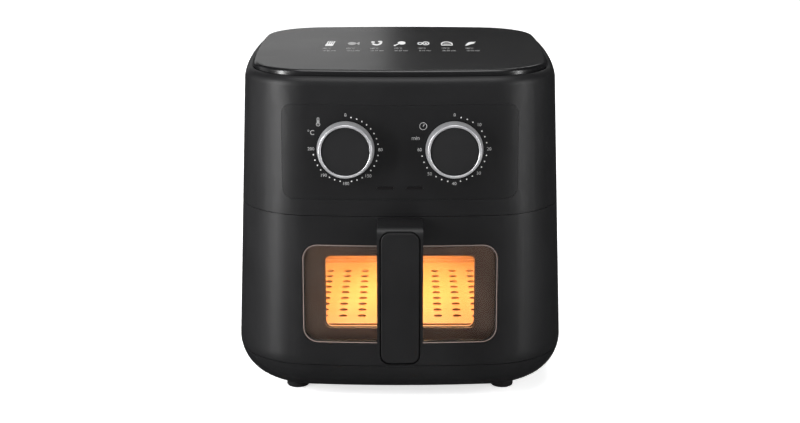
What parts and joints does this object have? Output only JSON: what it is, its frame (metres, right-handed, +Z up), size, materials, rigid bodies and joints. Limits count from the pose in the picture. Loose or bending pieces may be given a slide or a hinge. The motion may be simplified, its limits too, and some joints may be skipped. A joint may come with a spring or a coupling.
{
  "type": "air fryer",
  "caption": "Basket air fryer with a sliding windowed drawer, rotary temperature and timer dials, a lift-out crisper plate and a hot-air fan above the pot.",
  "frame": {"origin": "on the ground under the middle of the whole appliance, drawer handle included", "axes": "+Z up, -Y the front with the drawer, +X to the right seen from the front"},
  "size_m": [0.3064, 0.35, 0.306],
  "materials": {
    "housing_black": "fine moulded matt black",
    "panel_black": "smooth satin black",
    "cover_black": "satin black",
    "top_gloss": "gloss black",
    "knob_face": "satin black",
    "ring_metal": "satin silver",
    "steel": "zinc plated",
    "lens_smoke": "smoked lens",
    "lamp_red": "tinted lamp",
    "sheet_steel": "rolled sheet",
    "heater_steel": "oxidised sheath",
    "fan_aluminium": "stamped",
    "inner_plastic": "heat resistant plastic",
    "motor_iron": "laminated core",
    "lamp_glass": "warm filament lamp",
    "lamp_ceramic": "unglazed",
    "fuse_metal": "drawn can",
    "foot_rubber": "soft rubber",
    "bumper_silicone": "silicone",
    "window_tint": "brown black",
    "window_glass": "clear, faint warm tint",
    "nonstick": "dark non-stick coating"
  },
  "bodies": {
    "housing": {"base_housing": "housing_black", "base_screws": "steel", "catch_springs": "sheet_steel", "chamber_lamp": "lamp_glass", "control_panel": "panel_black", "cooking_chamber": "sheet_steel", "cord_clamp": "inner_plastic", "cord_gland": "inner_plastic", "drawer_rails": "sheet_steel", "element_clips": "sheet_steel", "exhaust_grille": "cover_black", "fan_motor": "motor_iron", "foot_front_left": "foot_rubber", "foot_front_right": "foot_rubber", "foot_rear_left": "foot_rubber", "foot_rear_right": "foot_rubber", "foot_screws": "steel", "heat_shield": "sheet_steel", "heater_guard": "sheet_steel", "heating_element": "heater_steel", "indicator_lamps": "lamp_red", "indicator_lenses": "lens_smoke", "interlock_switch": "inner_plastic", "lamp_holder": "lamp_ceramic", "main_housing": "housing_black", "motor_bracket": "sheet_steel", "rear_cover": "cover_black", "rear_screws": "steel", "terminal_block": "inner_plastic", "thermal_fuse": "fuse_metal", "thermostat": "inner_plastic", "thermostat_capillary": "steel", "timer": "inner_plastic", "timer_bell": "steel", "top_panel": "top_gloss"},
    "drawer": {"drawer_front": "housing_black", "drawer_liner": "inner_plastic", "window_frame": "window_tint", "outer_glass": "window_glass", "glass_seal": "bumper_silicone", "inner_glass": "window_glass", "cooking_pot": "nonstick", "pot_screws": "steel", "handle_body": "housing_black", "handle_cover": "cover_black", "handle_screws": "steel"},
    "crisper": {"crisper_plate": "nonstick", "crisper_bumpers": "bumper_silicone"},
    "temperature_dial": {"temperature_knob": "knob_face", "temperature_knob_ring": "ring_metal", "temperature_shaft": "steel"},
    "timer_dial": {"timer_knob": "knob_face", "timer_knob_ring": "ring_metal", "timer_shaft": "steel"},
    "fan_rotor": {"motor_shaft": "steel", "hot_fan": "fan_aluminium", "fan_nut": "steel", "cooling_fan": "inner_plastic"},
    "interlock": {"interlock_plunger": "steel"}
  },
  "joints": [
    {"name": "drawer_slide", "type": "slide", "parent": "housing", "child": "drawer", "axis": [0, -1, 0], "range_m": [0, 0.24]},
    {"name": "crisper_lift", "type": "slide", "parent": "drawer", "child": "crisper", "axis": [0, 0, 1], "range_m": [0, 0.09]},
    {"name": "temperature_turn", "type": "hinge", "parent": "housing", "child": "temperature_dial", "pos_m": [-0.0478, -0.12445, 0.2373], "axis": [0, 0.9992, -0.0401], "range_deg": [0, 270]},
    {"name": "timer_turn", "type": "hinge", "parent": "housing", "child": "timer_dial", "pos_m": [0.0478, -0.12445, 0.2373], "axis": [0, 0.9992, -0.0401], "range_deg": [0, 270]},
    {"name": "fan_spin", "type": "hinge", "parent": "housing", "child": "fan_rotor", "pos_m": [0, 0.017, 0.24], "axis": [0, 0, 1], "continuous": true},
    {"name": "interlock_press", "type": "slide", "parent": "housing", "child": "interlock", "axis": [0, -1, 0], "range_m": [-0.003, 0], "stiffness_N_per_m": 300, "springref_m": 0.002}
  ]
}
